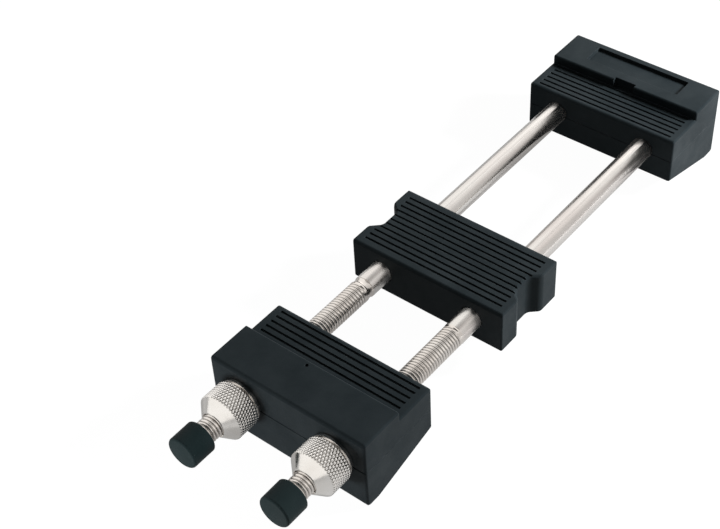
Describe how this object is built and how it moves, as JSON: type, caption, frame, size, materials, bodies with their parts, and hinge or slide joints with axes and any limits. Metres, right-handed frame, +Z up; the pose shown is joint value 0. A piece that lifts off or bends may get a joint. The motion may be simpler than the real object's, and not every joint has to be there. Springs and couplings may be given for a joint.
{
  "type": "sharpening stone holder",
  "caption": "Holder that clamps a sharpening stone between a fixed rubber jaw and a sliding one on two rods, tightened by knurled nuts.",
  "frame": {"origin": "middle of the holder's outline, on the table it stands on", "axes": "+X along the rods from the knurled nuts to the fixed jaw, +Y to the left as seen from the nuts, +Z up"},
  "size_m": [0.2898, 0.075, 0.0357],
  "materials": {
    "jaw_rubber": "moulded matt black rubber with a faint sheen",
    "cap_rubber": "smooth black rubber, greyer on the end face",
    "nickel_rod": "bright nickel plate on drawn steel",
    "nickel_nut": "bright nickel plate, diamond knurl with a turned cone",
    "nickel_washer": "bright nickel plate with a rolled edge",
    "core_steel": "bare cold-rolled steel",
    "core_plastic": "glass-filled plastic",
    "bush_nylon": "dark self-lubricating nylon"
  },
  "bodies": {
    "rod_frame": {"fixed_jaw": "jaw_rubber", "fixed_jaw_core": "core_steel", "left_rod": "nickel_rod", "right_rod": "nickel_rod", "left_rod_pin": "core_steel", "right_rod_pin": "core_steel", "left_end_cap": "cap_rubber", "right_end_cap": "cap_rubber"},
    "support": {"support_block": "jaw_rubber", "support_core": "core_plastic", "left_support_bush": "bush_nylon", "right_support_bush": "bush_nylon"},
    "slider": {"sliding_jaw": "jaw_rubber", "sliding_jaw_core": "core_steel", "left_jaw_bush": "bush_nylon", "right_jaw_bush": "bush_nylon", "left_washer": "nickel_washer", "right_washer": "nickel_washer"},
    "left_nut": {"left_nut": "nickel_nut"},
    "right_nut": {"right_nut": "nickel_nut"}
  },
  "joints": [
    {"name": "jaw_slide", "type": "slide", "parent": "rod_frame", "child": "slider", "axis": [1, 0, 0], "range_m": [-0.006, 0.045]},
    {"name": "support_slide", "type": "slide", "parent": "rod_frame", "child": "support", "axis": [1, 0, 0], "range_m": [0, 0.09]},
    {"name": "left_nut_turn", "type": "hinge", "parent": "slider", "child": "left_nut", "pos_m": [-0.11238, 0.0225, 0.0216], "axis": [1, 0, 0], "range_deg": [-1441, 10801]},
    {"name": "right_nut_turn", "type": "hinge", "parent": "slider", "child": "right_nut", "pos_m": [-0.11238, -0.0225, 0.0216], "axis": [1, 0, 0], "range_deg": [-1441, 10801]}
  ],
  "couplings": [
    {"joint": "left_nut_turn", "follows": "jaw_slide", "rad_per_m": 4188.8},
    {"joint": "right_nut_turn", "follows": "jaw_slide", "rad_per_m": 4188.8}
  ]
}
